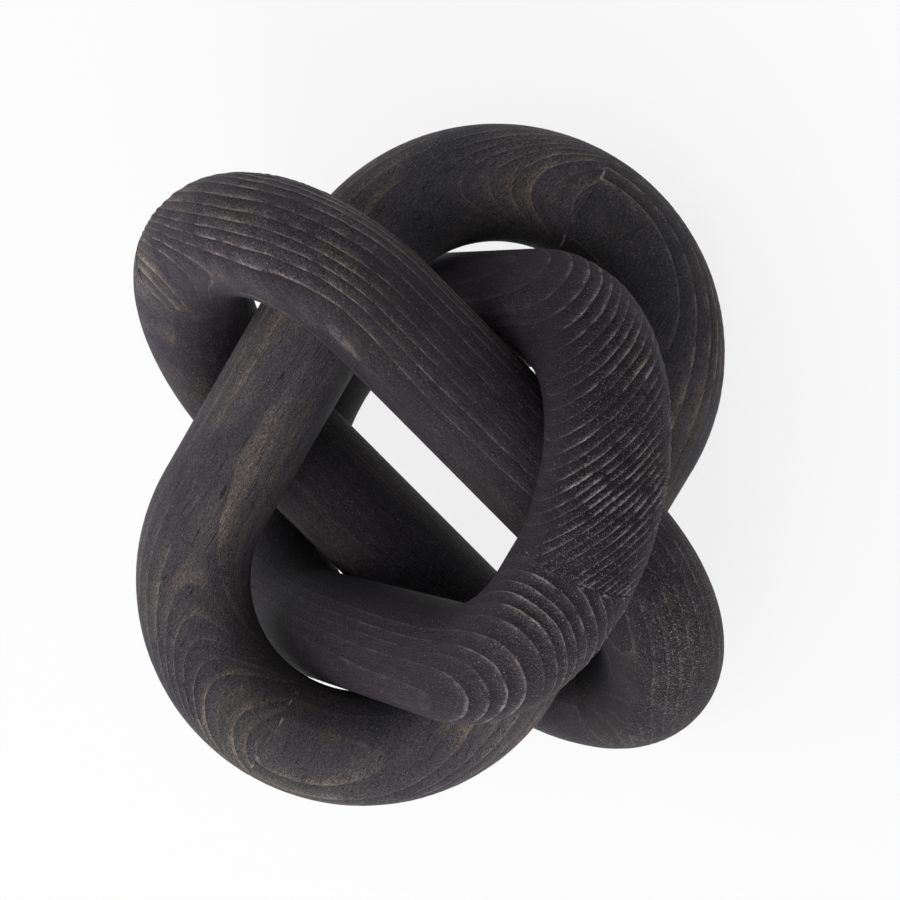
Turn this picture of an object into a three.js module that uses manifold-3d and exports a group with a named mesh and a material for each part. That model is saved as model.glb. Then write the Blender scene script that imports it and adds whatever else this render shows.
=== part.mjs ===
// Heap of three loose wooden chain links, an ornament that lies on a table.
// Each link is a round-edged ring of round section, glued up from two halves on two dowels.
// No two of the links are joined like a chain: each passes through the hole of the next one,
// 1 through 3, 3 through 2 and 2 through 1, so that the three hold each other together.
// Millimetres and degrees, +Z up, table at Z = 0, photographed side towards -Y.

import { Box3, BoxGeometry, CylinderGeometry, Curve, Euler, ExtrudeGeometry, Group } from "three";
import { MathUtils, Mesh, MeshStandardMaterial, BufferGeometry, BufferAttribute } from "three";
import { Shape, Vector3 } from "three";
import { mergeVertices } from "three/addons/utils/BufferGeometryUtils.js";
import manifoldLibrary from "manifold-3d";

// Wood of each link: thickness of the round section, and width of the hole between the arms
const LINK_1_THICKNESS = 28.8;
const LINK_1_HOLE_WIDTH = 53.4;
const LINK_2_THICKNESS = 27.9;
const LINK_2_HOLE_WIDTH = 54.3;
const LINK_3_THICKNESS = 27.3;
const LINK_3_HOLE_WIDTH = 56.0;

// Free length in each hole beside the link that passes through it
const LINK_1_END_PLAY = 10.8;
const LINK_2_END_PLAY = 8.3;
const LINK_3_END_PLAY = 8.1;

// How far round the end bends the glue seams lie from a link's long axis, towards its lower half
const LINK_1_SEAM_SHIFT = 6.5;
const LINK_2_SEAM_SHIFT = 0;
const LINK_3_SEAM_SHIFT = -15.1;

// How each link lies: heading of its raised end, climb of its length, lean of its width
const LINK_1_HEADING = 19.7;
const LINK_1_CLIMB = 20.3;
const LINK_1_LEAN = -27.5;
const LINK_2_HEADING = 135.6;
const LINK_2_CLIMB = 20.6;
const LINK_2_LEAN = -26.1;
const LINK_3_HEADING = -103.6;
const LINK_3_CLIMB = 24.0;
const LINK_3_LEAN = -23.1;

// How far each link has slipped sideways from the middle of the heap, along X and Y
const LINK_1_SLIP = [0.3, 0.5];
const LINK_2_SLIP = [0.3, -0.2];
const LINK_3_SLIP = [-0.5, -0.1];

// Gap kept where two links rest on each other, and the glue line between two halves
const REST_GAP = 0.3;
const GLUE_LINE = 0.3;

// Grooved hardwood dowels hidden in the glue joints, and the clearance of their bores
const DOWEL_DIAMETER = 8;
const DOWEL_LENGTH = 35;
const DOWEL_CHAMFER = 1;
const DOWEL_GROOVE_DEPTH = 0.4;
const DOWEL_GROOVES = 10;
const BORE_CLEARANCE = 0.2;
const BORE_END_ROOM = 1.5;

// Fineness of the facets
const SECTION_SIDES = 24;
const STEPS_PER_HALF = 42;
const BORE_SIDES = 16;

const LINK_1 = {
  name: "link_1",
  thickness: LINK_1_THICKNESS,
  holeWidth: LINK_1_HOLE_WIDTH,
  endPlay: LINK_1_END_PLAY,
  seamShift: LINK_1_SEAM_SHIFT,
  heading: LINK_1_HEADING,
  climb: LINK_1_CLIMB,
  lean: LINK_1_LEAN,
  slip: LINK_1_SLIP,
};
const LINK_2 = {
  name: "link_2",
  thickness: LINK_2_THICKNESS,
  holeWidth: LINK_2_HOLE_WIDTH,
  endPlay: LINK_2_END_PLAY,
  seamShift: LINK_2_SEAM_SHIFT,
  heading: LINK_2_HEADING,
  climb: LINK_2_CLIMB,
  lean: LINK_2_LEAN,
  slip: LINK_2_SLIP,
};
const LINK_3 = {
  name: "link_3",
  thickness: LINK_3_THICKNESS,
  holeWidth: LINK_3_HOLE_WIDTH,
  endPlay: LINK_3_END_PLAY,
  seamShift: LINK_3_SEAM_SHIFT,
  heading: LINK_3_HEADING,
  climb: LINK_3_CLIMB,
  lean: LINK_3_LEAN,
  slip: LINK_3_SLIP,
};
const LINKS = [LINK_1, LINK_2, LINK_3];

// The link whose two arms pass through the hole of each link
LINK_1.holds = LINK_2;
LINK_2.holds = LINK_3;
LINK_3.holds = LINK_1;

// Outside width of a link across its arms
function outerWidth(link) {
  return link.holeWidth + 2 * link.thickness;
}

// Bend radius of the centreline, the centreline's straight length in each arm, and its quarter bend
for (const link of LINKS) {
  link.bend = (link.holeWidth + link.thickness) / 2;
  link.holeLength = outerWidth(link.holds) + link.endPlay;
  link.straight = link.holeLength - link.holeWidth;
  link.quarter = (link.bend * Math.PI) / 2;
  link.halfRound = 2 * link.quarter + link.straight;
}

// Centreline of a stretch of the bar, by the distance round the link. Distance 0 is the raised
// end of the long axis, X, and the distance grows over the arm on the +Y side.
class BarPath extends Curve {
  constructor(link, start, end) {
    super();
    this.link = link;
    this.start = start;
    this.end = end;
  }

  getPoint(t, target = new Vector3()) {
    const { bend, straight, quarter, halfRound } = this.link;
    const distance = this.start + t * (this.end - this.start);
    const turns = Math.floor((distance + quarter) / halfRound);
    const along = distance + quarter - turns * halfRound;
    const side = turns % 2 === 0 ? 1 : -1;
    if (along < 2 * quarter) {
      const angle = (along - quarter) / bend;
      const x = straight / 2 + bend * Math.cos(angle);
      return target.set(side * x, side * bend * Math.sin(angle), 0);
    }
    return target.set(side * (straight / 2 - (along - 2 * quarter)), side * bend, 0);
  }
}

// Points along the whole centreline of a link, in the link's own axes
function centreline(link, count) {
  const path = new BarPath(link, 0, 2 * link.halfRound);
  const points = [];
  for (let i = 0; i < count; i++) {
    points.push(path.getPoint(i / count));
  }
  return points;
}

// Turn of a link. The tilt scales climb and lean together: 0 lies flat, and about 1.7 is the
// ball-like cluster in which the three links stand square to one another.
function linkTurn(link, tilt) {
  const lean = MathUtils.degToRad(link.lean * tilt);
  const climb = MathUtils.degToRad(link.climb * tilt);
  return new Euler(lean, -climb, MathUtils.degToRad(link.heading), "ZYX");
}

// A link rests its lowest point on the table
function linkPlace(link, tilt, points) {
  const turn = linkTurn(link, tilt);
  const heights = points.map((point) => point.clone().applyEuler(turn).z);
  const lowest = Math.min(...heights);
  return new Vector3(link.slip[0], link.slip[1], link.thickness / 2 - lowest);
}

// Smallest gap between any two links of the heap at a tilt
const CENTRELINE_POINTS = 240;
for (const link of LINKS) {
  link.points = centreline(link, CENTRELINE_POINTS);
}

function tightestGap(tilt) {
  const placed = LINKS.map((link) => {
    const turn = linkTurn(link, tilt);
    const place = linkPlace(link, tilt, link.points);
    return link.points.map((point) => point.clone().applyEuler(turn).add(place));
  });
  let tightest = Infinity;
  for (const [i, j] of [[0, 1], [1, 2], [2, 0]]) {
    let nearest = Infinity;
    for (const p of placed[i]) {
      for (const q of placed[j]) {
        nearest = Math.min(nearest, p.distanceToSquared(q));
      }
    }
    const gap = Math.sqrt(nearest) - (LINKS[i].thickness + LINKS[j].thickness) / 2;
    tightest = Math.min(tightest, gap);
  }
  return tightest;
}

// The heap sags until the links rest on each other: the flattest tilt that keeps the gap
function settledTilt() {
  let flat = 0.5;
  let steep = 1.6;
  for (let pass = 0; pass < 24; pass++) {
    const middle = (flat + steep) / 2;
    if (tightestGap(middle) < REST_GAP) {
      flat = middle;
    } else {
      steep = middle;
    }
  }
  return steep;
}

const wasm = await manifoldLibrary();
wasm.setup();

function toSolid(geometry) {
  geometry.deleteAttribute("normal");
  geometry.deleteAttribute("uv");
  const merged = mergeVertices(geometry, 1e-4);
  const mesh = new wasm.Mesh({
    numProp: 3,
    vertProperties: new Float32Array(merged.attributes.position.array),
    triVerts: new Uint32Array(merged.index.array),
  });
  return new wasm.Manifold(mesh);
}

function toGeometry(solid) {
  const mesh = solid.getMesh();
  const geometry = new BufferGeometry();
  geometry.setAttribute("position", new BufferAttribute(mesh.vertProperties, 3));
  geometry.setIndex(new BufferAttribute(mesh.triVerts, 1));
  geometry.computeVertexNormals();
  return geometry;
}

// Puts a solid made at the origin, with its length along Y, into the bar at a glue seam.
// Side 1 is the raised end of the link and side -1 is its resting end.
function placeAtSeam(object, link, side) {
  const angle = link.seamShift / link.bend;
  object.rotateZ(side * angle);
  const x = link.straight / 2 + link.bend * Math.cos(angle);
  const y = link.bend * Math.sin(angle);
  if (object.isMesh) {
    object.position.set(side * x, y, 0);
  } else {
    object.translate(side * x, y, 0);
  }
  return object;
}

// A bar swept from seam to seam, with the glue line and the dowel bores cut from its two ends
function halfLink(link, start, end) {
  const section = new Shape().absarc(0, 0, link.thickness / 2, 0, 2 * Math.PI);
  const bar = new ExtrudeGeometry(section, {
    extrudePath: new BarPath(link, start, end),
    steps: STEPS_PER_HALF,
    curveSegments: SECTION_SIDES / 2,
  });
  let solid = toSolid(bar);

  const boreRadius = DOWEL_DIAMETER / 2 + BORE_CLEARANCE;
  const boreEnd = DOWEL_LENGTH / 2 + BORE_END_ROOM;
  for (const side of [1, -1]) {
    const glue = new BoxGeometry(2 * link.thickness, GLUE_LINE, 2 * link.thickness);
    solid = solid.subtract(toSolid(placeAtSeam(glue, link, side)));
    const bore = new CylinderGeometry(boreRadius, boreRadius, 2 * boreEnd, BORE_SIDES);
    solid = solid.subtract(toSolid(placeAtSeam(bore, link, side)));
  }
  return toGeometry(solid);
}

// Grooved dowel with chamfered ends, centred on the origin, along Y
function dowel() {
  const outline = new Shape();
  for (let i = 0; i < 2 * DOWEL_GROOVES; i++) {
    const angle = (i * Math.PI) / DOWEL_GROOVES;
    const radius = DOWEL_DIAMETER / 2 - (i % 2) * DOWEL_GROOVE_DEPTH;
    if (i === 0) {
      outline.moveTo(radius, 0);
    } else {
      outline.lineTo(radius * Math.cos(angle), radius * Math.sin(angle));
    }
  }
  outline.closePath();
  const geometry = new ExtrudeGeometry(outline, {
    depth: DOWEL_LENGTH - 2 * DOWEL_CHAMFER,
    bevelThickness: DOWEL_CHAMFER,
    bevelSize: DOWEL_CHAMFER,
    bevelOffset: -DOWEL_CHAMFER,
    bevelSegments: 1,
  });
  geometry.translate(0, 0, DOWEL_CHAMFER - DOWEL_LENGTH / 2);
  geometry.rotateX(Math.PI / 2);
  return toGeometry(toSolid(geometry));
}

// Charcoal stain differs a little from link to link, and the dowels are bare beech
const STAIN = { link_1: 0x332f2d, link_2: 0x302d2b, link_3: 0x2a292a };

function stainedWood(link) {
  return new MeshStandardMaterial({ color: STAIN[link.name], roughness: 0.62, metalness: 0 });
}

const beech = new MeshStandardMaterial({ color: 0xcaa77a, roughness: 0.7, metalness: 0 });

function addPiece(group, name, geometry, material) {
  const mesh = new Mesh(geometry, material);
  mesh.name = name;
  group.add(mesh);
  return mesh;
}

// A whole link: its lower half lies on the +Y side, because the width leans down that way
function makeLink(link, tilt) {
  const group = new Group();
  const material = stainedWood(link);
  const { name, seamShift, halfRound } = link;
  const lower = halfLink(link, seamShift, halfRound - seamShift);
  const upper = halfLink(link, halfRound - seamShift, 2 * halfRound + seamShift);
  addPiece(group, `${name}_lower_half`, lower, material);
  addPiece(group, `${name}_upper_half`, upper, material);
  placeAtSeam(addPiece(group, `${name}_raised_end_dowel`, dowel(), beech), link, 1);
  placeAtSeam(addPiece(group, `${name}_resting_end_dowel`, dowel(), beech), link, -1);

  group.rotation.copy(linkTurn(link, tilt));
  group.position.copy(linkPlace(link, tilt, link.points));
  return group;
}

// The heap stands with the middle of its underside at the origin
const tilt = settledTilt();
const heap = new Group();
for (const link of LINKS) {
  heap.add(makeLink(link, tilt));
}
heap.updateMatrixWorld(true);
const box = new Box3().setFromObject(heap, true);
const middle = box.getCenter(new Vector3());
heap.position.set(-middle.x, -middle.y, -box.min.z);
heap.updateMatrixWorld(true);

export default heap;
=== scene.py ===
"""Looks of the wooden chain link ornament, built around its packed CAD model.

Three loose links lie as a heap. Each is a ring of round bar, glued up from two halves of
brushed softwood on two hidden beech dowels, and stained charcoal after the glue had set.
Metres and +Z up, in the frame of the CAD model.
"""

import math

import bpy
from bpy.props import FloatProperty, FloatVectorProperty, IntProperty, PointerProperty
from mathutils import Matrix, Vector


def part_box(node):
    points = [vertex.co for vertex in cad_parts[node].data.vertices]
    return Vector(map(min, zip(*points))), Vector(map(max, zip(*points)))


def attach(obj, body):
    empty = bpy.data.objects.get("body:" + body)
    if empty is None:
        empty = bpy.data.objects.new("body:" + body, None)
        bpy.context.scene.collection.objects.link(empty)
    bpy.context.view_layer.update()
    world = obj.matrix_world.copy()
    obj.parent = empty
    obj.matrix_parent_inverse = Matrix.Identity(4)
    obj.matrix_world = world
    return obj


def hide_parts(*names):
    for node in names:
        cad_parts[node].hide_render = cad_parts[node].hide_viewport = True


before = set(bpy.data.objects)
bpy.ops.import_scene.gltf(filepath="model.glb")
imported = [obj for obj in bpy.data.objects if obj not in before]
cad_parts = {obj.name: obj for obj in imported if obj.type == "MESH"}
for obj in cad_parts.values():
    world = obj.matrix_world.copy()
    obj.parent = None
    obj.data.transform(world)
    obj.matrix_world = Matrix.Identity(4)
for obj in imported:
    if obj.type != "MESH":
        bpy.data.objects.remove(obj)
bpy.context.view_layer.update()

bl_info = {
    "name": "Wooden Chain Links",
    "version": (1, 0, 0),
    "blender": (4, 5, 0),
    "location": "3D View > Sidebar > Chain Links",
    "description": "Makes a heap of three charcoal-stained wooden chain links",
    "category": "Object",
}


MM_IN_METRE = 1000

# How the wood of each half was cut from its board, in the link's own axes: X is the long axis
# and the grain, +Y the side of the lower half. Distances in millimetres.
# pith: where the heart of the tree lay at the middle of the link (Y, Z)
# drift, bow: how far the heart runs off along the link, straight (in metres for each metre)
# and curved (in metres for each square metre) (Y, Z)
# middle, ring: distance from the heart from which the rings are counted, and the ring there
# spacing, tightening: width of a ring there, and the rings to spare 10 mm away from there
# swing: run of good and bad years, as rings to spare, its length and its phase
# figure: how clearly the rings show, at the raised end and at the resting end
# smooth: how far the smooth side of the arm goes on round the bends before the brush digs in
# grit: how coarse the grain is where the brush has torn the end grain, raised and resting end
# shade: how pale the ground is, at the raised end, on the arm and at the resting end
# seed: moves the noise, so that no two halves are alike
WOOD = {
    "link_1_upper_half": {
        "pith": (-28.71, -59.52), "drift": (-0.0355, -0.0096), "bow": (0.139, -0.121),
        "middle": 70.32, "ring": -0.17, "spacing": 1.958, "tightening": 0.663,
        "swing": 0.411, "swing_length": 19.09, "swing_phase": -1.129,
        "figure": (1.05, 0.22), "smooth": 0.0, "grit": (0.5, 1.8),
        "shade": (1.55, 0.78, 0.58), "seed": 3.0,
    },
    "link_1_lower_half": {
        "pith": (14.43, 94.99), "drift": (-0.0052, 0.0109), "bow": (0.3, -0.597),
        "middle": 89.38, "ring": 0.589, "spacing": 2.129, "tightening": 0.835,
        "swing": 0.171, "swing_length": 12.3, "swing_phase": 0.726,
        "figure": (0.15, 0.3), "smooth": 0.0, "grit": (1.6, 1.6),
        "shade": (1.55, 1.3, 0.95), "seed": 11.0,
    },
    "link_2_upper_half": {
        "pith": (-47.94, -68.14), "drift": (-0.0485, 0.0005), "bow": (0.265, -0.518),
        "middle": 83.35, "ring": -0.285, "spacing": 1.855, "tightening": 0.504,
        "swing": 0.397, "swing_length": 13.64, "swing_phase": -1.373,
        "figure": (0.6, 0.45), "smooth": 0.0, "grit": (0.3, 0.35),
        "shade": (0.95, 1.26, 0.9), "seed": 23.0,
    },
    "link_2_lower_half": {
        "pith": (7.79, 135.05), "drift": (0.0122, -0.0387), "bow": (0.034, -0.13),
        "middle": 125.0, "ring": -0.278, "spacing": 2.981, "tightening": 0.112,
        "swing": 0.12, "swing_length": 9.82, "swing_phase": -0.656,
        "figure": (0.7, 1.0), "smooth": 0.0, "grit": (0.3, 0.25),
        "shade": (1.0, 1.4, 0.68), "seed": 31.0,
    },
    "link_3_upper_half": {
        "pith": (-113.83, 68.01), "drift": (0.0029, 0.0829), "bow": (0.8, -0.429),
        "middle": 99.33, "ring": 5.002, "spacing": 2.37, "tightening": 0.208,
        "swing": 0.187, "swing_length": 12.54, "swing_phase": -2.434,
        "figure": (0.75, 0.95), "smooth": 0.0, "grit": (0.85, 0.7),
        "shade": (0.66, 0.79, 0.82), "seed": 47.0,
    },
    "link_3_lower_half": {
        "pith": (232.94, 300.36), "drift": (-0.0094, 0.0472), "bow": (0.64, 0.431),
        "middle": 362.67, "ring": -0.489, "spacing": 2.136, "tightening": 0.238,
        "swing": 0.151, "swing_length": 21.83, "swing_phase": 0.516,
        "figure": (1.1, 0.6), "smooth": 0.14, "grit": (1.35, 1.0),
        "shade": (0.6, 1.05, 0.84), "seed": 59.0,
    },
}


def linear(code):
    """A colour written as sRGB hex, as the linear values that Blender's shaders use."""
    parts = [int(code[i : i + 2], 16) / 255 for i in (1, 3, 5)]
    parts = [c / 12.92 if c <= 0.04045 else ((c + 0.055) / 1.055) ** 2.4 for c in parts]
    return (*parts, 1.0)


def link_settings(label, sizes, looks):
    """The settings of one link, as a property group whose defaults are that link's own."""

    class Settings(bpy.types.PropertyGroup):
        thickness: FloatProperty(
            name="Bar thickness",
            description="Diameter of the round bar",
            default=sizes["thickness"],
            subtype="DISTANCE",
        )
        hole_width: FloatProperty(
            name="Hole width",
            description="Width of the hole between the two arms",
            default=sizes["hole_width"],
            subtype="DISTANCE",
        )
        straight: FloatProperty(
            name="Straight length",
            description="Length of the straight part of each arm",
            default=sizes["straight"],
            subtype="DISTANCE",
        )
        seam_shift: FloatProperty(
            name="Seam shift",
            description="How far round the end bends the glue seams lie from the long axis",
            default=sizes["seam_shift"],
            subtype="DISTANCE",
        )
        place: FloatVectorProperty(
            name="Place",
            description="Middle of the link",
            default=sizes["place"],
            subtype="TRANSLATION",
        )
        turn: FloatVectorProperty(
            name="Turn",
            description="Lean, climb and heading of the link",
            default=[math.radians(a) for a in sizes["turn"]],
            subtype="EULER",
        )
        ridge_height: FloatProperty(
            name="Ridge height",
            description="How far the brush has worn the soft early wood down between the ridges",
            default=sizes["ridge_height"],
            subtype="DISTANCE",
        )
        stain: FloatVectorProperty(
            name="Stain",
            description="Colour of the stained early wood",
            default=linear(looks["stain"])[:3],
            subtype="COLOR",
        )
        ridge: FloatVectorProperty(
            name="Ridge",
            description="Colour of the hard late-wood ridges, where the stain is thin",
            default=linear(looks["ridge"])[:3],
            subtype="COLOR",
        )
        rubbed: FloatVectorProperty(
            name="Sunk stain",
            description="Colour of the places where the stain has sunk away",
            default=linear(looks["rubbed"])[:3],
            subtype="COLOR",
        )
        arm_lines: FloatProperty(
            name="Lines on the arms",
            description="How much the late-wood lines show where the bar runs with the grain",
            default=looks["arm_lines"],
            subtype="FACTOR",
        )
        end_lines: FloatProperty(
            name="Lines on the ends",
            description="How much more they show where the bend cuts across the grain",
            default=looks["end_lines"],
            subtype="FACTOR",
        )
        grain: FloatProperty(
            name="Grain",
            description="Contrast of the fine grain on the arms",
            default=looks["grain"],
            subtype="FACTOR",
        )
        torn_joint: FloatProperty(
            name="Torn joint",
            description="How much pale torn fibre shows along the glue joints",
            default=looks["torn_joint"],
            subtype="FACTOR",
        )

    Settings.__name__ = Settings.__qualname__ = f"CHAIN_PG_{label}"
    Settings.__doc__ = f"Sizes and colours of {label}"
    return Settings


Link1Settings = link_settings(
    "link_1",
    {
        "thickness": 0.0288, "hole_width": 0.0534, "straight": 0.0675, "seam_shift": 0.0065,
        "place": (0.000016, 0.000615, 0.048942), "turn": (-27.5522, -20.3386, 19.7),
        "ridge_height": 0.00034,
    },
    {
        "stain": "#2d2a2f", "ridge": "#9a908c", "rubbed": "#504943",
        "arm_lines": 0.75, "end_lines": 0.6, "grain": 0.85, "torn_joint": 0.1,
    },
)
Link2Settings = link_settings(
    "link_2",
    {
        "thickness": 0.0279, "hole_width": 0.0543, "straight": 0.0646, "seam_shift": 0.0,
        "place": (0.000016, -0.000085, 0.047605), "turn": (-26.1496, -20.6391, 135.6),
        "ridge_height": 0.00014,
    },
    {
        "stain": "#3b393d", "ridge": "#958d8b", "rubbed": "#665d55",
        "arm_lines": 0.45, "end_lines": 0.5, "grain": 0.85, "torn_joint": 0.9,
    },
)
Link3Settings = link_settings(
    "link_3",
    {
        "thickness": 0.0273, "hole_width": 0.056, "straight": 0.0631, "seam_shift": -0.0151,
        "place": (-0.000784, 0.000015, 0.049091), "turn": (-23.1439, -24.0456, -103.6),
        "ridge_height": 0.0006,
    },
    {
        "stain": "#2b272d", "ridge": "#a19a9f", "rubbed": "#3c3739",
        "arm_lines": 0.15, "end_lines": 0.9, "grain": 0.75, "torn_joint": 0.5,
    },
)


class CHAIN_PG_joint(bpy.types.PropertyGroup):
    """Sizes of the glue joints, alike in all the links"""

    glue_line: FloatProperty(
        name="Glue line",
        description="Gap between the two end faces of a joint",
        default=0.00002,
        subtype="DISTANCE",
    )
    rim_round: FloatProperty(
        name="Rim round",
        description="Edge worn round by sanding across the joint",
        default=0.00007,
        subtype="DISTANCE",
    )
    bore_diameter: FloatProperty(
        name="Bore diameter",
        description="Diameter of the dowel's bore",
        default=0.0084,
        subtype="DISTANCE",
    )
    bore_depth: FloatProperty(
        name="Bore depth",
        description="Depth of the dowel's bore, from the middle of the joint",
        default=0.019,
        subtype="DISTANCE",
    )
    rows: IntProperty(
        name="Rows",
        description="Rows of points along each half link",
        default=452,
        min=40,
    )
    points_round: IntProperty(
        name="Points round",
        description="Points round the bar, the first and last in one place",
        default=220,
        min=24,
    )


class CHAIN_PG_stage(bpy.types.PropertyGroup):
    """Light, floor and camera"""

    sky_strength: FloatProperty(
        name="Sky strength",
        description="Strength of the even light from all round",
        default=0.45,
    )
    left_power: FloatProperty(
        name="Left lamp",
        description="Power of the large soft lamp on the left",
        default=7.7,
        unit="POWER",
    )
    back_power: FloatProperty(
        name="Back lamp",
        description="Power of the large soft lamp behind the heap",
        default=4.6,
        unit="POWER",
    )
    top_power: FloatProperty(
        name="Top lamp",
        description="Power of the large soft lamp overhead",
        default=3.4,
        unit="POWER",
    )
    camera_place: FloatVectorProperty(
        name="Camera place",
        description="Where the camera stands",
        default=(0.00035, -0.29676, 0.43984),
        subtype="TRANSLATION",
    )
    camera_aim: FloatVectorProperty(
        name="Camera aim",
        description="Point in the middle of the picture",
        default=(0.00295, -0.0058, 0.04425),
        subtype="TRANSLATION",
    )
    camera_roll: FloatProperty(
        name="Camera roll",
        description="Turn of the camera about its line of sight",
        default=math.radians(106.835),
        subtype="ANGLE",
    )
    lens: FloatProperty(
        name="Lens",
        description="Focal length for a sensor 36 mm wide, in millimetres",
        default=81.18,
        subtype="DISTANCE_CAMERA",
    )


class CHAIN_PG_heap(bpy.types.PropertyGroup):
    """Everything that can be changed on the heap"""

    link_1: PointerProperty(type=Link1Settings)
    link_2: PointerProperty(type=Link2Settings)
    link_3: PointerProperty(type=Link3Settings)
    joint: PointerProperty(type=CHAIN_PG_joint)
    stage: PointerProperty(type=CHAIN_PG_stage)


MATH = "ShaderNodeMath"
VECTOR = "ShaderNodeVectorMath"
RANGE = "ShaderNodeMapRange"
NOISE = "ShaderNodeTexNoise"
MIX = "ShaderNodeMix"
STORE = "GeometryNodeStoreNamedAttribute"


def add(tree, kind, inputs=(), output=0, **settings):
    """Adds a node with its settings, gives its inputs values or links, returns one output."""
    made = tree.nodes.new(kind)
    for name, value in settings.items():
        setattr(made, name, value)
    for key, value in inputs.items() if isinstance(inputs, dict) else enumerate(inputs):
        if isinstance(value, bpy.types.NodeSocket):
            tree.links.new(value, made.inputs[key])
        else:
            made.inputs[key].default_value = value
    return made.outputs[output]


def seen_directly(tree):
    """1 for a ray that the eye sees straight, in a reflection or through glass, otherwise 0."""
    seen = add(tree, "ShaderNodeLightPath", output="Is Camera Ray")
    path = seen.node.outputs
    for ray in ("Is Glossy Ray", "Is Transmission Ray"):
        seen = add(tree, MATH, (seen, path[ray]), operation="MAXIMUM")
    return seen


def empty_material(title):
    """A new material without nodes, and its tree."""
    material = bpy.data.materials.new(title)
    material.use_nodes = True
    material.node_tree.nodes.clear()
    return material, material.node_tree


# Inputs of the half link's node group, by kind of socket
BAR_INPUTS = {
    "NodeSocketFloat": (
        "Thickness", "Bend Radius", "Straight Length", "Seam Shift", "Glue Line", "Rim Round",
        "Bore Diameter", "Bore Depth", "Side", "Middle Distance", "Middle Ring", "Ring Spacing",
        "Tightening", "Swing", "Swing Length", "Swing Phase", "Ridge Height", "Figure",
        "Resting Figure", "Smooth", "Grit", "Resting Grit", "Raised Shade", "Arm Shade",
        "Resting Shade", "Seed",
    ),
    "NodeSocketInt": ("Rows", "Points Round"),
    "NodeSocketVector": ("Pith", "Pith Drift", "Pith Bow", "Place", "Turn"),
    "NodeSocketMaterial": ("Wood",),
}

# Rows that close each end: the middle and the edge of the bore's bottom, the bore's mouth, the
# edge of the glue face and the middle of the worn rim. The last lies below the skin by this
# share of the rim's radius.
END_ROWS = 5
RIM_MIDDLE = 0.29

# Points closer than this, in metres, become one, along the grid's open edge and in the bores
MERGE_DISTANCE = 0.00001

# Distances along the link from its middle, in metres: an end's own shade begins at the first
# and is full at the second. Figure and grit change evenly between the two full ends.
END_START = 0.035
END_FULL = 0.07

# Noise in the wood: waves for each metre along and across the grain, and how far apart the
# places are, in metres, between which the rings waver
WAVER_WAVES = (28.0, 110.0, 110.0)
RAGGED_WAVES = (300.0, 900.0, 900.0)
FIGURE_WAVES = (26.0, 75.0, 75.0)
WAVER_RANGE = 0.0008

# Steepness of a ridge where it rises through the year and where it falls into the next year
RIDGE_RISE = 3.0
RIDGE_FALL = 5.2

# Level to which the skin is sanded at a joint: how far above the ground between the ridges and
# how far below their tops, as shares of their height
RIM_ABOVE = 0.45
RIM_BELOW = 0.55


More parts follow.
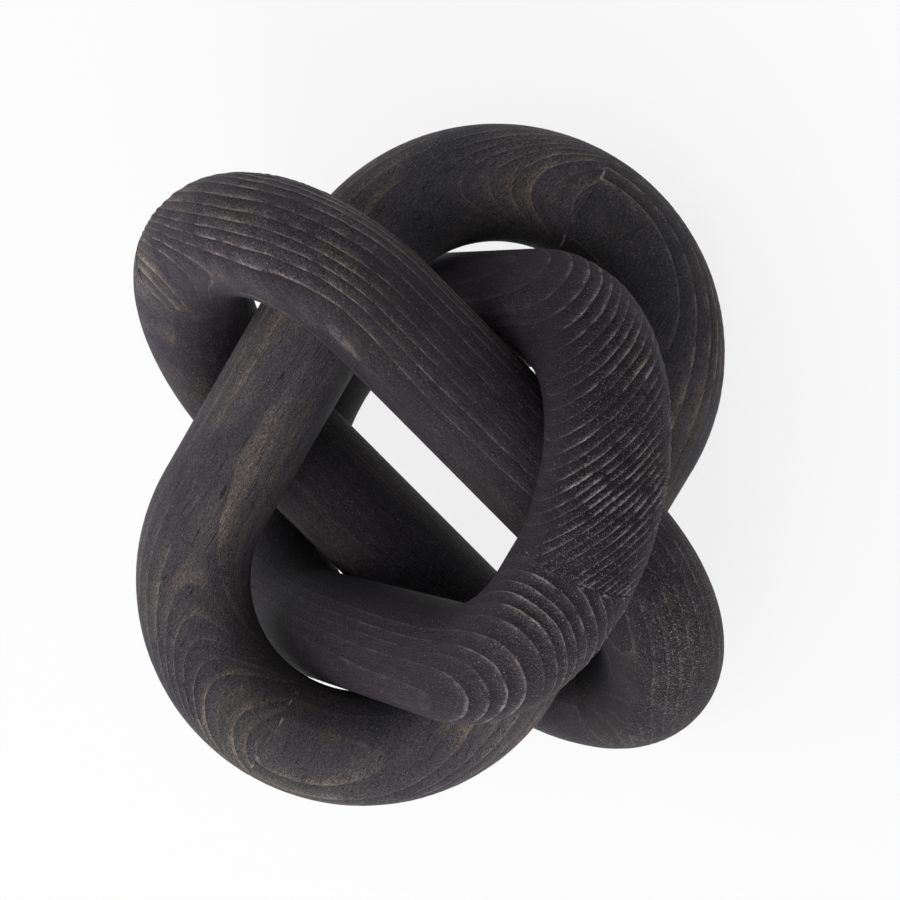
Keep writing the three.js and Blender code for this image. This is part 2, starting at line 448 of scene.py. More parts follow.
def half_link_tree():
    """Geometry Nodes that sweep the bar of a half link from seam to seam, and wear its grain.

    The bar is one grid, laid round a quarter bend, a straight arm and a quarter bend. Its
    first and last five rows close the end with a worn rim, a glue face and a dowel bore.
    """
    tree = bpy.data.node_groups.new("half_link", "GeometryNodeTree")
    for kind, names in BAR_INPUTS.items():
        for name in names:
            tree.interface.new_socket(name=name, in_out="INPUT", socket_type=kind)
    tree.interface.new_socket(name="Geometry", in_out="OUTPUT", socket_type="NodeSocketGeometry")
    given = tree.nodes.new("NodeGroupInput").outputs

    # Row of the grid, counted from both seams, and which seam is the nearer one
    grid = add(
        tree, "GeometryNodeMeshGrid", (1.0, 1.0, given["Rows"], given["Points Round"]), "Mesh"
    )
    spot = add(tree, "GeometryNodeInputPosition")
    along = add(tree, "ShaderNodeSeparateXYZ", (spot,), "X")
    around = along.node.outputs["Y"]
    last = add(tree, MATH, (given["Rows"], 1.0), operation="SUBTRACT")
    share = add(tree, MATH, (along, 0.5), operation="ADD")
    row = add(tree, MATH, (share, last), operation="MULTIPLY")
    row = add(tree, MATH, (row,), operation="ROUND")
    back = add(tree, MATH, (last, row), operation="SUBTRACT")
    from_end = add(tree, MATH, (row, back), operation="MINIMUM")
    beyond = add(tree, MATH, (along, 0.0), operation="GREATER_THAN")
    way = add(tree, MATH, (beyond, -2.0, 1.0), operation="MULTIPLY_ADD")
    is_end = add(tree, MATH, (from_end, END_ROWS - 0.5), operation="LESS_THAN")

    # Radius and depth of each end row, and of the body after them
    radius = add(tree, MATH, (given["Thickness"], 0.5), operation="MULTIPLY")
    bore = add(tree, MATH, (given["Bore Diameter"], 0.5), operation="MULTIPLY")
    rim = given["Rim Round"]
    half_glue = add(tree, MATH, (given["Glue Line"], 0.5), operation="MULTIPLY")
    bottom = add(tree, MATH, (given["Bore Depth"], half_glue), operation="SUBTRACT")
    face = add(tree, MATH, (radius, rim), operation="SUBTRACT")
    worn = add(tree, MATH, (rim, RIM_MIDDLE), operation="MULTIPLY")
    edge = add(tree, MATH, (radius, worn), operation="SUBTRACT")
    profile = []
    for values in (
        (0.0, bore, bore, face, edge, radius),
        (bottom, bottom, 0.0, 0.0, worn, rim),
    ):
        chosen = add(tree, "GeometryNodeIndexSwitch", (from_end,), data_type="FLOAT")
        while len(chosen.node.index_switch_items) < len(values):
            chosen.node.index_switch_items.new()
        for value, socket in zip(values, chosen.node.inputs[1:]):
            if isinstance(value, bpy.types.NodeSocket):
                tree.links.new(value, socket)
            else:
                socket.default_value = value
        tree.links.new(
            add(tree, MATH, (from_end, float(END_ROWS)), operation="MINIMUM"),
            chosen.node.inputs[0],
        )
        profile.append(chosen)
    reach, depth = profile

    # Distance round the link at which the row stands
    bend = given["Bend Radius"]
    quarter = add(tree, MATH, (bend, math.pi / 2), operation="MULTIPLY")
    arm_end = add(tree, MATH, (quarter, given["Straight Length"]), operation="ADD")
    whole = add(tree, MATH, (arm_end, quarter), operation="ADD")
    middle = add(tree, MATH, (whole, 0.5), operation="MULTIPLY")
    to_seam = add(tree, MATH, (middle, given["Seam Shift"]), operation="SUBTRACT")
    seam = add(tree, MATH, (way, to_seam), operation="MULTIPLY")
    seam = add(tree, MATH, (middle, seam), operation="SUBTRACT")
    trim = add(tree, MATH, (half_glue, rim), operation="ADD")
    span = add(tree, MATH, (to_seam, trim), operation="SUBTRACT")
    low = add(tree, MATH, (middle, span), operation="SUBTRACT")
    high = add(tree, MATH, (middle, span), operation="ADD")
    last_body = add(tree, MATH, (last, float(END_ROWS)), operation="SUBTRACT")
    body = add(tree, RANGE, (row, float(END_ROWS), last_body, low, high), clamp=True)
    distance = add(tree, "GeometryNodeSwitch", (is_end, body, seam), input_type="FLOAT")
    to_joint = add(tree, MATH, (distance, seam), operation="SUBTRACT")
    to_joint = add(tree, MATH, (to_joint,), operation="ABSOLUTE")
    inward = add(tree, MATH, (depth, half_glue), operation="ADD")
    inward = add(tree, MATH, (inward, way), operation="MULTIPLY")
    inward = add(tree, MATH, (inward, is_end), operation="MULTIPLY")

    # Centreline point, and the directions outwards, along and across at it
    first_bend = add(tree, MATH, (distance, quarter), operation="MINIMUM")
    past_arm = add(tree, MATH, (distance, arm_end), operation="SUBTRACT")
    second_bend = add(tree, MATH, (past_arm, 0.0), operation="MAXIMUM")
    bent = add(tree, MATH, (first_bend, second_bend), operation="ADD")
    run = add(tree, MATH, (distance, bent), operation="SUBTRACT")
    angle = add(tree, MATH, (bent, bend), operation="DIVIDE")
    cos_bend = add(tree, MATH, (angle,), operation="COSINE")
    sin_bend = add(tree, MATH, (angle,), operation="SINE")
    outward = add(tree, "ShaderNodeCombineXYZ", (cos_bend, sin_bend, 0.0))
    forward = add(tree, VECTOR, ((0.0, 0.0, 1.0), outward), operation="CROSS_PRODUCT")
    half_arm = add(tree, MATH, (given["Straight Length"], 0.5), operation="MULTIPLY")
    slide = add(tree, MATH, (half_arm, run), operation="SUBTRACT")
    slide = add(tree, "ShaderNodeCombineXYZ", (slide, 0.0, 0.0))
    centre = add(tree, VECTOR, {0: outward, "Scale": bend}, operation="SCALE")
    centre = add(tree, VECTOR, (centre, slide), operation="ADD")
    inward = add(tree, VECTOR, {0: forward, "Scale": inward}, operation="SCALE")
    centre = add(tree, VECTOR, (centre, inward), operation="ADD")
    turn = add(tree, MATH, (around, math.tau, math.pi), operation="MULTIPLY_ADD")
    cos_turn = add(tree, MATH, (turn,), operation="COSINE")
    sin_turn = add(tree, MATH, (turn,), operation="SINE")
    normal = add(tree, VECTOR, {0: outward, "Scale": cos_turn}, operation="SCALE")
    lift = add(tree, "ShaderNodeCombineXYZ", (0.0, 0.0, sin_turn))
    normal = add(tree, VECTOR, (normal, lift), operation="ADD")
    skin = add(tree, VECTOR, {0: normal, "Scale": reach}, operation="SCALE")
    skin = add(tree, VECTOR, (centre, skin), operation="ADD")

    # The upper half is the same path turned half round, so its side is -1
    swap = add(tree, "ShaderNodeCombineXYZ", (given["Side"], given["Side"], 1.0))
    skin = add(tree, VECTOR, (skin, swap), operation="MULTIPLY")
    normal = add(tree, VECTOR, (normal, swap), operation="MULTIPLY")

    # Place of a point in the tree: distance from the heart line, which drifts and bows
    length = add(tree, "ShaderNodeSeparateXYZ", (skin,), "X")
    length_2 = add(tree, MATH, (length, length), operation="MULTIPLY")
    drift = add(tree, VECTOR, {0: given["Pith Drift"], "Scale": length}, operation="SCALE")
    bow = add(tree, VECTOR, {0: given["Pith Bow"], "Scale": length_2}, operation="SCALE")
    heart = add(tree, VECTOR, (given["Pith"], drift), operation="ADD")
    heart = add(tree, VECTOR, (heart, bow), operation="ADD")
    board = add(tree, VECTOR, (skin, heart), operation="SUBTRACT")
    cross = add(tree, VECTOR, (board, (0.0, 1.0, 1.0)), operation="MULTIPLY")
    from_heart = add(tree, VECTOR, (cross,), "Value", operation="LENGTH")

    # Rings are a little uneven: they waver by 0.4 mm over 35 mm along and 9 mm across the grain
    seed = add(tree, "ShaderNodeCombineXYZ", (given["Seed"], 0.0, 0.0))
    waver = add(tree, VECTOR, (board, WAVER_WAVES, seed), operation="MULTIPLY_ADD")
    waver = add(tree, NOISE, {"Vector": waver, "Scale": 1.0, "Detail": 2.0}, "Fac")
    waver = add(tree, MATH, (waver, WAVER_RANGE, -WAVER_RANGE / 2), operation="MULTIPLY_ADD")
    from_heart = add(tree, MATH, (from_heart, waver), operation="ADD")

    # Ring count: whole numbers are the hard late-wood lines
    off = add(tree, MATH, (from_heart, given["Middle Distance"]), operation="SUBTRACT")
    count = add(tree, MATH, (off, given["Ring Spacing"]), operation="DIVIDE")
    count = add(tree, MATH, (count, given["Middle Ring"]), operation="ADD")
    centimetres = add(tree, MATH, (off, 100.0), operation="MULTIPLY")
    squared = add(tree, MATH, (centimetres, centimetres), operation="MULTIPLY")
    count = add(tree, MATH, (squared, given["Tightening"], count), operation="MULTIPLY_ADD")
    wave = add(tree, MATH, (off, given["Swing Length"]), operation="DIVIDE")
    wave = add(tree, MATH, (wave, math.tau, given["Swing Phase"]), operation="MULTIPLY_ADD")
    wave = add(tree, MATH, (wave,), operation="SINE")
    count = add(tree, MATH, (wave, given["Swing"], count), operation="MULTIPLY_ADD")

    # Ridge: rises slowly through the year's growth and drops steeply into the next
    shifted = add(tree, MATH, (count, 0.5), operation="ADD")
    part = add(tree, MATH, (shifted,), operation="FRACT")
    part = add(tree, MATH, (part, 0.5), operation="SUBTRACT")
    after = add(tree, MATH, (part, 0.0), operation="GREATER_THAN")
    slope = add(tree, MATH, (after, RIDGE_FALL - RIDGE_RISE, RIDGE_RISE), operation="MULTIPLY_ADD")
    part = add(tree, MATH, (part, slope), operation="MULTIPLY")
    part = add(tree, MATH, (part, part), operation="MULTIPLY")
    part = add(tree, MATH, (part, -1.0), operation="MULTIPLY")
    ridge = add(tree, MATH, (part,), operation="EXPONENT")

    # Some years' ridges are harder than others, and all are ragged
    year = add(tree, MATH, (shifted,), operation="FLOOR")
    year = add(tree, MATH, (year, given["Seed"]), operation="ADD")
    hard = add(tree, "ShaderNodeTexWhiteNoise", {"W": year}, "Value", noise_dimensions="1D")
    hard = add(tree, MATH, (hard, 0.5, 0.5), operation="MULTIPLY_ADD")
    ridge = add(tree, MATH, (ridge, hard), operation="MULTIPLY")
    ragged = add(tree, VECTOR, (board, RAGGED_WAVES, seed), operation="MULTIPLY_ADD")
    ragged = add(tree, NOISE, {"Vector": ragged, "Scale": 1.0, "Detail": 1.0}, "Fac")
    ragged = add(tree, RANGE, (ragged, 0.35, 0.62, 0.3, 1.05))
    ridge = add(tree, MATH, (ridge, ragged), operation="MULTIPLY")

    # The brush digs deepest into end grain, and hardly reaches the inside of the hole. The
    # rings also show more clearly in some places than in others.
    end_way = add(tree, MATH, (length,), operation="SIGN")
    end_grain = add(tree, "ShaderNodeSeparateXYZ", (normal,), "X")
    end_grain = add(tree, MATH, (end_grain, end_way), operation="MULTIPLY")
    end_grain = add(tree, MATH, (end_grain, given["Smooth"]), operation="SUBTRACT")
    end_grain = add(
        tree, RANGE, (end_grain, -0.08, 0.48, 0.0, 1.0), interpolation_type="SMOOTHSTEP"
    )
    # How far a side faces out of the hole: it thins the rings there, and below it paints shade
    out_of_hole = add(
        tree, RANGE, (cos_turn, -0.85, -0.15, 0.3, 1.0), interpolation_type="SMOOTHSTEP"
    )
    dig = add(tree, MATH, (end_grain, 0.92, 0.08), operation="MULTIPLY_ADD")
    figure = add(tree, VECTOR, (board, FIGURE_WAVES, seed), operation="MULTIPLY_ADD")
    figure = add(tree, NOISE, {"Vector": figure, "Scale": 1.0, "Detail": 2.0}, "Fac")
    figure = add(tree, RANGE, (figure, 0.36, 0.6, 0.35, 1.15))
    fading = add(
        tree, RANGE, (length, -END_FULL, END_FULL, given["Resting Figure"], given["Figure"])
    )
    for factor in (fading, out_of_hole):
        figure = add(tree, MATH, (figure, factor), operation="MULTIPLY")
    dig = add(tree, MATH, (dig, figure), operation="MULTIPLY")
    dig = add(tree, MATH, (dig, given["Ridge Height"]), operation="MULTIPLY")

    # The ground is paler or darker on both ends and on the arm, and darker on the sides that face
    # into the hole, which is painted shade. The grain is coarse where the brush has torn the end
    # grain.
    raised = add(
        tree,
        RANGE,
        (length, END_START, END_FULL, given["Arm Shade"], given["Raised Shade"]),
        interpolation_type="SMOOTHSTEP",
    )
    shade = add(
        tree,
        RANGE,
        (length, -END_FULL, -END_START, given["Resting Shade"], raised),
        interpolation_type="SMOOTHSTEP",
    )
    # Painted shade: the sides that face into the hole are darkened down to 0.6
    hole_side_painted_shade = add(tree, RANGE, (out_of_hole, 0.3, 1.0, 0.6, 1.0))
    shade = add(tree, MATH, (shade, hole_side_painted_shade), operation="MULTIPLY")
    grit = add(tree, RANGE, (length, -END_FULL, END_FULL, given["Resting Grit"], given["Grit"]))
    grit = add(tree, MATH, (grit, end_grain), operation="MULTIPLY")

    # Wear lowers the skin between the ridges. Near a joint it fades to an even level, and the
    # glue face and the bore have none.
    fade = add(tree, RANGE, (from_end, END_ROWS - 1.0, END_ROWS + 2.0, 0.0, 1.0))
    level = add(tree, MATH, (ridge, -RIM_ABOVE), operation="ADD")
    level = add(tree, MATH, (level, fade, -RIM_BELOW), operation="MULTIPLY_ADD")
    wear = add(tree, MATH, (level, dig), operation="MULTIPLY")
    outside = add(tree, MATH, (from_end, END_ROWS - 2.5), operation="GREATER_THAN")
    wear = add(tree, MATH, (wear, outside), operation="MULTIPLY")
    wear = add(tree, VECTOR, {0: normal, "Scale": wear}, operation="SCALE")
    skin = add(tree, VECTOR, (skin, wear), operation="ADD")

    # Keep what the material reads on the points, then move them into place
    bar = grid
    for name, value, kind in (
        ("ring_count", count, "FLOAT"),
        ("board", board, "FLOAT_VECTOR"),
        ("end_grain", end_grain, "FLOAT"),
        ("from_seam", to_joint, "FLOAT"),
        ("figure", figure, "FLOAT"),
        ("torn", grit, "FLOAT"),
        ("shade", shade, "FLOAT"),
    ):
        kept = {"Geometry": bar, "Name": name, "Value": value}
        bar = add(tree, STORE, kept, data_type=kind)
    bar = add(tree, "GeometryNodeSetPosition", {"Geometry": bar, "Position": skin})
    bar = add(tree, "GeometryNodeMergeByDistance", {"Geometry": bar, "Distance": MERGE_DISTANCE})
    euler = add(tree, "FunctionNodeEulerToRotation", (given["Turn"],))
    bar = add(
        tree,
        "GeometryNodeTransform",
        {"Geometry": bar, "Translation": given["Place"], "Rotation": euler},
    )
    bar = add(tree, "GeometryNodeRealizeInstances", {"Geometry": bar})
    bar = add(tree, "GeometryNodeSetMaterial", {"Geometry": bar, "Material": given["Wood"]})
    tree.links.new(bar, tree.nodes.new("NodeGroupOutput").inputs["Geometry"])
    return tree


def stained_softwood(title, look):
    """Fir, wire-brushed and stained charcoal: a matt, grainy, faintly violet black in which the
    hard late-wood lines stand proud and show grey or tan, broken into short fibres, with brown
    patches where the stain has sunk away and fine dark checks along the grain.
    """
    material, tree = empty_material(title)
    read = {
        name: add(tree, "ShaderNodeAttribute", output="Fac", attribute_name=name)
        for name in ("ring_count", "end_grain", "from_seam", "figure", "torn", "shade")
    }
    board = add(tree, "ShaderNodeAttribute", output="Vector", attribute_name="board")

    # Fibres: ticks 0.35 mm thick and 0.9 mm long, streaks 0.8 mm thick and 18 mm long, grit,
    # patches 15 to 40 mm across, checks 0.4 mm wide and 6 mm long, and blotches of 4 mm, each
    # with its waves for each metre along and across the grain
    noises = []
    for waves, detail, fineness in (
        ((1100.0, 2800.0, 2800.0), 2.0, 0.6),
        ((55.0, 1250.0, 1250.0), 3.0, 0.6),
        ((3000.0, 3000.0, 3000.0), 1.0, 0.5),
        ((24.0, 60.0, 60.0), 3.0, 0.55),
        ((160.0, 2300.0, 2300.0), 1.0, 0.5),
        ((180.0, 260.0, 260.0), 2.0, 0.6),
    ):
        placed = add(tree, VECTOR, (board, waves), operation="MULTIPLY")
        values = {"Vector": placed, "Scale": 1.0, "Detail": detail, "Roughness": fineness}
        noises.append(add(tree, NOISE, values, "Fac"))
    tick, streak, grit, patch, check, blotch = noises

    # Place within the year, from 0 just past a late-wood line to 1 at the next one. The deeper
    # the brush has dug, the broader the line and the more its edges fray.
    rough_ends = add(tree, MATH, (read["end_grain"], look.end_lines), operation="MULTIPLY")
    dug = add(tree, MATH, (rough_ends, read["figure"]), operation="MULTIPLY")
    dug_deep = add(tree, MATH, (dug, read["figure"]), operation="MULTIPLY")
    fray = add(tree, MATH, (dug_deep, 0.26, 0.03), operation="MULTIPLY_ADD")
    swing = add(tree, MATH, (tick, -0.5), operation="ADD")
    shifted = add(tree, MATH, (swing, fray, read["ring_count"]), operation="MULTIPLY_ADD")
    season = add(tree, MATH, (shifted,), operation="FRACT")
    year = add(tree, MATH, (shifted,), operation="FLOOR")
    start = add(tree, MATH, (dug_deep, -0.16, 0.86), operation="MULTIPLY_ADD")
    line = add(tree, RANGE, (season, start, 0.95, 0.0, 1.0))
    late = add(tree, RANGE, (season, 0.42, 0.97, 0.0, 1.0), interpolation_type="SMOOTHSTEP")
    early = add(tree, RANGE, (season, 0.0, 0.5, 1.0, 0.0))

    # Some years and places show more than others, and the ends more than the arms
    hard = add(tree, "ShaderNodeTexWhiteNoise", {"W": year}, "Value", noise_dimensions="1D")
    warm = add(tree, MATH, (hard, 7.3), operation="MULTIPLY")
    warm = add(tree, MATH, (warm,), operation="FRACT")
    warm = add(tree, MATH, (warm, 0.75, 0.25), operation="MULTIPLY_ADD")
    hard = add(tree, MATH, (hard, 0.6, 0.4), operation="MULTIPLY_ADD")
    strength = add(tree, MATH, (rough_ends, look.arm_lines), operation="ADD")
    for factor in (hard, read["figure"]):
        strength = add(tree, MATH, (strength, factor), operation="MULTIPLY")
    broken = add(tree, RANGE, (streak, 0.36, 0.54, 0.55, 1.0))
    blurred = add(tree, RANGE, (blotch, 0.38, 0.58, 0.15, 1.25))
    ticked = add(tree, RANGE, (tick, 0.36, 0.58, 0.45, 1.1))
    broad = add(tree, MATH, (late, rough_ends), operation="MULTIPLY")
    shown = add(tree, MATH, (broad, 0.15), operation="MULTIPLY")
    shown = add(tree, MATH, (line, 0.74, shown), operation="MULTIPLY_ADD")
    for factor in (strength, broken, blurred, ticked):
        shown = add(tree, MATH, (shown, factor), operation="MULTIPLY", use_clamp=True)

    # Ground: violet black, brown where the stain has sunk away from the late wood
    bare = add(tree, RANGE, (patch, 0.4, 0.58, 0.0, 1.0))
    bare_late = add(tree, MATH, (late, 0.7, 0.3), operation="MULTIPLY_ADD")
    bare_ticks = add(tree, RANGE, (tick, 0.36, 0.58, 0.5, 1.0))
    for factor in (bare_late, bare_ticks, warm, read["shade"]):
        bare = add(tree, MATH, (bare, factor), operation="MULTIPLY", use_clamp=True)
    ground = {"Factor": bare, "A": (*look.stain, 1.0), "B": (*look.rubbed, 1.0)}
    ground = add(tree, MIX, ground, "Result", data_type="RGBA")

    # Its grain, which is coarsest where the brush has torn the end grain
    tone = add(tree, RANGE, (tick, 0.28, 0.72, 0.62, 1.45))
    for noise, low, high in (
        (streak, 0.8, 1.22),
        (grit, 0.55, 1.52),
        (patch, 0.82, 1.18),
        (blotch, 0.84, 1.16),
    ):
        factor = add(tree, RANGE, (noise, 0.25, 0.75, low, high))
        tone = add(tree, MATH, (tone, factor), operation="MULTIPLY")
    coarse = add(tree, MATH, (read["torn"], look.grain), operation="ADD")
    tone = add(tree, MATH, (tone, coarse), operation="POWER")

    # The year lightens slowly towards its line and is darkest just past it. Where the brush has
    # dug, the groove is darker still, partly from stain lying thick and partly as painted shade
    near = add(tree, MATH, (late, early), operation="SUBTRACT")
    near = add(tree, MATH, (near, 0.42), operation="MULTIPLY")
    near = add(tree, MATH, (near, strength, 1.0), operation="MULTIPLY_ADD")
    deep = add(tree, RANGE, (blotch, 0.4, 0.6, 0.65, 1.15))
    # Darkens the dug grooves: partly thick stain, partly painted shade
    groove_stain_and_shade = add(tree, MATH, (early, dug), operation="MULTIPLY")
    groove_stain_and_shade = add(tree, MATH, (groove_stain_and_shade, deep), operation="MULTIPLY")
    groove_stain_and_shade = add(tree, MATH, (groove_stain_and_shade, -0.85, 1.0), operation="MULTIPLY_ADD", use_clamp=True)
    checked = add(tree, RANGE, (check, 0.28, 0.34, 0.35, 1.0))
    for factor in (near, groove_stain_and_shade, checked, read["shade"]):
        tone = add(tree, MATH, (tone, factor), operation="MULTIPLY")
    ground = add(tree, VECTOR, {0: ground, "Scale": tone}, operation="SCALE")

    # The lines lie over it, in patches of tan. Over them lie pale specks of bare fibre, more of
    # them on the ends, and torn fibre along the glue joint.
    tan = add(tree, RANGE, (patch, 0.5, 0.62, 0.0, 0.7))
    ridge = {"Factor": tan, "A": (*look.ridge, 1.0), "B": linear("#a09487")}
    ridge = add(tree, MIX, ridge, "Result", data_type="RGBA")
    scarce = add(tree, MATH, (read["torn"], -0.055, 0.715), operation="MULTIPLY_ADD")
    speck = add(tree, RANGE, (grit, scarce, 0.8, 0.0, 0.75))
    at_joint = add(tree, RANGE, (read["from_seam"], 0.0001, 0.0006, 1.0, 0.0))
    chip = add(tree, RANGE, (blotch, 0.56, 0.62, 0.0, look.torn_joint))
    chip = add(tree, MATH, (at_joint, chip), operation="MULTIPLY")
    speck = add(tree, MATH, (speck, chip), operation="MAXIMUM")
    wood = ground
    for share, colour in ((shown, ridge), (speck, linear("#9c9492"))):
        wood = {"Factor": share, "A": wood, "B": colour}
        wood = add(tree, MIX, wood, "Result", data_type="RGBA")

    # Stain leaves no film: it shines little, over a skin roughened by lines, fibres and checks
    finish = {"Base Color": wood, "Roughness": 0.62, "IOR": 1.45, "Specular IOR Level": 0.14}
    finish = add(tree, "ShaderNodeBsdfPrincipled", finish)
    height = add(tree, MATH, (late, dug), operation="MULTIPLY")
    height = add(tree, MATH, (height, 0.45), operation="MULTIPLY")
    height = add(tree, MATH, (line, strength, height), operation="MULTIPLY_ADD")
    for noise, share in ((tick, 1.2), (grit, 0.9), (streak, 0.6), (checked, 0.6)):
        height = add(tree, MATH, (noise, share, height), operation="MULTIPLY_ADD")
    bump = add(tree, "ShaderNodeBump", {"Height": height, "Strength": 1.0, "Distance": 0.0002})
    tree.links.new(bump, finish.node.inputs["Normal"])
    tree.links.new(finish, tree.nodes.new("ShaderNodeOutputMaterial").inputs["Surface"])
    return material


def bare_beech():
    """Beech dowel, turned and left bare: pale, warm and matt, with short brown ray flecks."""
    material, tree = empty_material("bare_turned_beech")
    spot = add(tree, "ShaderNodeTexCoord", output="Object")
    fleck = {"Vector": spot, "Scale": 900.0, "Detail": 3.0, "Roughness": 0.6}
    fleck = add(tree, NOISE, fleck, "Fac")
    cloud = add(tree, NOISE, {"Vector": spot, "Scale": 120.0, "Detail": 2.0}, "Fac")
    flecked = add(tree, RANGE, (fleck, 0.5, 0.72, 0.0, 0.8))
    wood = linear("#c39c6c")
    for share, colour in ((cloud, linear("#d7b68a")), (flecked, linear("#946a41"))):
        wood = {"Factor": share, "A": wood, "B": colour}
        wood = add(tree, MIX, wood, "Result", data_type="RGBA")
    finish = {"Base Color": wood, "Roughness": 0.68, "IOR": 1.5}
    finish = add(tree, "ShaderNodeBsdfPrincipled", finish)
    bump = add(tree, "ShaderNodeBump", {"Height": fleck, "Strength": 0.4, "Distance": 0.00005})
    tree.links.new(bump, finish.node.inputs["Normal"])
    tree.links.new(finish, tree.nodes.new("ShaderNodeOutputMaterial").inputs["Surface"])
    return material


def pale_floor():
    """Thin matt white paper: white to the eye, a soft grey in the object's shadow, and clear
    enough that a link which dips below it as the heap opens isn't cut off.
    """
    material, tree = empty_material("matt_white_paper")
    seen = seen_directly(tree)
    paper = {"Color": (0.8, 0.8, 0.8, 1.0), "Roughness": 0.0}
    paper = add(tree, "ShaderNodeBsdfDiffuse", paper)
    clear = add(tree, "ShaderNodeBsdfTransparent")
    spot = add(tree, "ShaderNodeTexCoord", output="Object")
    away = add(tree, VECTOR, (spot,), "Value", operation="LENGTH")
    share = add(tree, RANGE, (away, 0.3, 1.5, 0.84, 1.0))
    share = add(tree, MATH, (share, seen), operation="MULTIPLY")
    mixed = add(tree, "ShaderNodeMixShader", (share, paper, clear))
    tree.links.new(mixed, tree.nodes.new("ShaderNodeOutputMaterial").inputs["Surface"])
    return material


# Fewest faces of a half link, how far its box may be off the CAD node's, in metres, and the
# angle from which an edge looks sharp
FEWEST_FACES = 1000
BOX_SLACK = 0.0015
SHARP_ANGLE = math.radians(55)


class CHAIN_OT_half_links(bpy.types.Operator):
    """Makes the six half links of stained softwood and puts them in place of the CAD halves"""

    bl_idname = "chain_links.half_links"
    bl_label = "Make Half Links"

    def execute(self, context):
        heap = context.scene.chain_links
        joint = heap.joint
        tree = half_link_tree()
        sockets = {
            item.name: item.identifier
            for item in tree.interface.items_tree
            if item.in_out == "INPUT"
        }
        for node, wood in WOOD.items():
            body, level, _ = node.rsplit("_", 2)
            link = getattr(heap, body)
            side = 1.0 if level == "lower" else -1.0
            title = f"charcoal_stained_fir_{body}"
            values = {
                "Thickness": link.thickness,
                "Bend Radius": (link.hole_width + link.thickness) / 2,
                "Straight Length": link.straight,
                "Seam Shift": side * link.seam_shift,
                "Glue Line": joint.glue_line,
                "Rim Round": joint.rim_round,
                "Bore Diameter": joint.bore_diameter,
                "Bore Depth": joint.bore_depth,
                "Side": side,
                "Middle Distance": wood["middle"] / MM_IN_METRE,
                "Middle Ring": wood["ring"],
                "Ring Spacing": wood["spacing"] / MM_IN_METRE,
                "Tightening": wood["tightening"],
                "Swing": wood["swing"],
                "Swing Length": wood["swing_length"] / MM_IN_METRE,
                "Swing Phase": wood["swing_phase"],
                "Ridge Height": link.ridge_height,
                "Figure": wood["figure"][0],
                "Resting Figure": wood["figure"][1],
                "Smooth": wood["smooth"],
                "Grit": wood["grit"][0],
                "Resting Grit": wood["grit"][1],
                "Raised Shade": wood["shade"][0],
                "Arm Shade": wood["shade"][1],
                "Resting Shade": wood["shade"][2],
                "Seed": wood["seed"],
                "Rows": joint.rows,
                "Points Round": joint.points_round,
                "Pith": (0.0, *(part / MM_IN_METRE for part in wood["pith"])),
                "Pith Drift": (0.0, *wood["drift"]),
                "Pith Bow": (0.0, *wood["bow"]),
                "Place": tuple(link.place),
                "Turn": tuple(link.turn),
                "Wood": bpy.data.materials.get(title) or stained_softwood(title, link),
            }
            rough = bpy.data.objects.new(f"{node}_tree", bpy.data.meshes.new(f"{node}_tree"))
            context.scene.collection.objects.link(rough)
            modifier = rough.modifiers.new("half_link", "NODES")
            modifier.node_group = tree
            for name, value in values.items():
                modifier[sockets[name]] = value
            graph = context.evaluated_depsgraph_get()
            mesh = bpy.data.meshes.new_from_object(rough.evaluated_get(graph))
            bpy.data.objects.remove(rough)
            if len(mesh.polygons) < FEWEST_FACES:
                raise RuntimeError(f"{node}: the bar has only {len(mesh.polygons)} faces")
            while mesh.materials[0] is None:
                mesh.materials.pop(index=0)
            mesh.name = f"{node}_wood"
            mesh.shade_smooth()
            mesh.set_sharp_from_angle(angle=SHARP_ANGLE)
            piece = bpy.data.objects.new(f"{node}_wood", mesh)
            context.scene.collection.objects.link(piece)
            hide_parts(node)
            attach(piece, body)
            for mine, low, high in zip(zip(*piece.bound_box), *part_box(node)):
                if max(abs(min(mine) - low), abs(max(mine) - high)) > BOX_SLACK:
                    raise RuntimeError(f"{node} isn't where its CAD node is")
        return {"FINISHED"}


class CHAIN_OT_dowels(bpy.types.Operator):
    """Gives the six hidden dowels their bare beech"""

    bl_idname = "chain_links.dowels"
    bl_label = "Finish Dowels"

    def execute(self, context):
        beech = bare_beech()
        for name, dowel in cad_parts.items():
            if name.endswith("_dowel"):
                dowel.data.materials.clear()
                dowel.data.materials.append(beech)
        return {"FINISHED"}


# How far the floor goes each way, and the point that the lamps shine on, in metres
FLOOR_REACH = 3.0
HEAP_MIDDLE = (0.0, 0.0, 0.045)


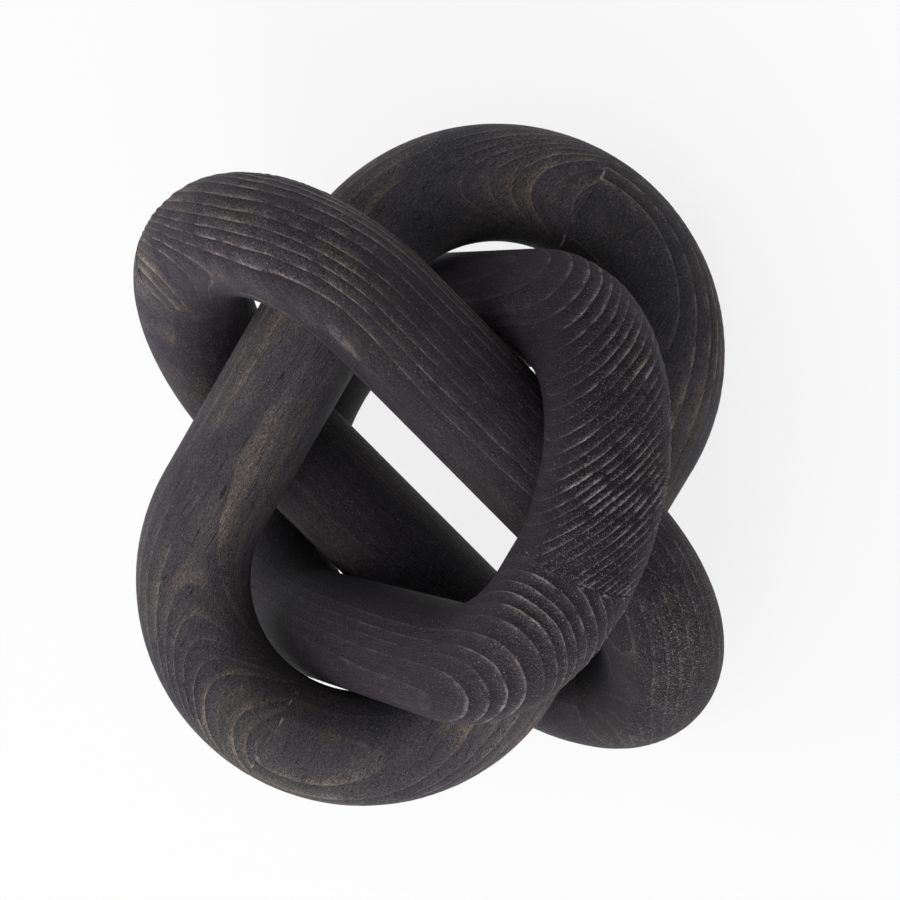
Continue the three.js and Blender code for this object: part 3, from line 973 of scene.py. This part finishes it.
class CHAIN_OT_stage(bpy.types.Operator):
    """Sets the pale floor, the soft lamps and the camera"""

    bl_idname = "chain_links.stage"
    bl_label = "Set Stage"

    def execute(self, context):
        scene = context.scene
        look = scene.chain_links.stage
        scene.view_settings.view_transform = "Standard"

        # Sky: white to the eye, and weaker as light
        world = scene.world or bpy.data.worlds.new("studio")
        scene.world = world
        world.use_nodes = True
        tree = world.node_tree
        tree.nodes.clear()
        seen = seen_directly(tree)
        strength = add(tree, RANGE, (seen, 0.0, 1.0, look.sky_strength, 1.0))
        sky = {"Color": (1.0, 1.0, 1.0, 1.0), "Strength": strength}
        sky = add(tree, "ShaderNodeBackground", sky)
        tree.links.new(sky, tree.nodes.new("ShaderNodeOutputWorld").inputs["Surface"])

        reach = FLOOR_REACH
        corners = [(-reach, -reach, 0), (reach, -reach, 0), (reach, reach, 0), (-reach, reach, 0)]
        mesh = bpy.data.meshes.new("floor")
        mesh.from_pydata(corners, [], [(0, 1, 2, 3)])
        floor = bpy.data.objects.new("floor", mesh)
        scene.collection.objects.link(floor)
        mesh.materials.append(pale_floor())

        # Soft round lamps, with their power, diameter and place
        for name, power, size, place in (
            ("left_lamp", look.left_power, 0.8, (-0.94, 0.13, 0.78)),
            ("back_lamp", look.back_power, 0.75, (0.4, 0.98, 0.6)),
            ("top_lamp", look.top_power, 0.8, (-0.15, 0.0, 1.24)),
        ):
            lamp = bpy.data.lights.new(name, "AREA")
            lamp.energy = power
            lamp.shape = "DISK"
            lamp.size = size
            holder = bpy.data.objects.new(name, lamp)
            holder.location = place
            aim = Vector(HEAP_MIDDLE) - Vector(place)
            holder.rotation_euler = aim.to_track_quat("-Z", "Y").to_euler()
            scene.collection.objects.link(holder)

        camera = bpy.data.cameras.new("camera")
        camera.lens = look.lens
        camera.sensor_width = 36.0
        camera.clip_start = 0.01
        holder = bpy.data.objects.new("camera", camera)
        place = Vector(look.camera_place)
        sight = (Vector(look.camera_aim) - place).to_track_quat("-Z", "Y").to_matrix()
        roll = Matrix.Rotation(-look.camera_roll, 3, "Z")
        holder.matrix_world = Matrix.Translation(place) @ (sight @ roll).to_4x4()
        scene.collection.objects.link(holder)
        scene.camera = holder
        return {"FINISHED"}


class CHAIN_PT_heap(bpy.types.Panel):
    """Lists the heap's sizes and the steps that make it"""

    bl_label = "Chain Links"
    bl_idname = "CHAIN_PT_heap"
    bl_space_type = "VIEW_3D"
    bl_region_type = "UI"
    bl_category = "Chain Links"

    def draw(self, context):
        heap = context.scene.chain_links
        for group in heap.__annotations__:
            settings = getattr(heap, group)
            box = self.layout.box()
            box.label(text=group.replace("_", " ").capitalize())
            for name in settings.__annotations__:
                box.prop(settings, name)
        for operator in OPERATORS:
            self.layout.operator(operator.bl_idname)


OPERATORS = (CHAIN_OT_half_links, CHAIN_OT_dowels, CHAIN_OT_stage)
CLASSES = (
    Link1Settings,
    Link2Settings,
    Link3Settings,
    CHAIN_PG_joint,
    CHAIN_PG_stage,
    CHAIN_PG_heap,
    *OPERATORS,
    CHAIN_PT_heap,
)


def register():
    """Adds the classes and the scene's settings to Blender."""
    for kind in CLASSES:
        bpy.utils.register_class(kind)
    bpy.types.Scene.chain_links = PointerProperty(type=CHAIN_PG_heap)


def unregister():
    """Takes them out again."""
    del bpy.types.Scene.chain_links
    for kind in reversed(CLASSES):
        bpy.utils.unregister_class(kind)


def main():
    """Makes the heap and its stage, and writes the boxes of the CAD model and of the finish."""
    register()
    bpy.ops.chain_links.half_links()
    bpy.ops.chain_links.dowels()
    bpy.ops.chain_links.stage()


if __name__ == "__main__":
    main()
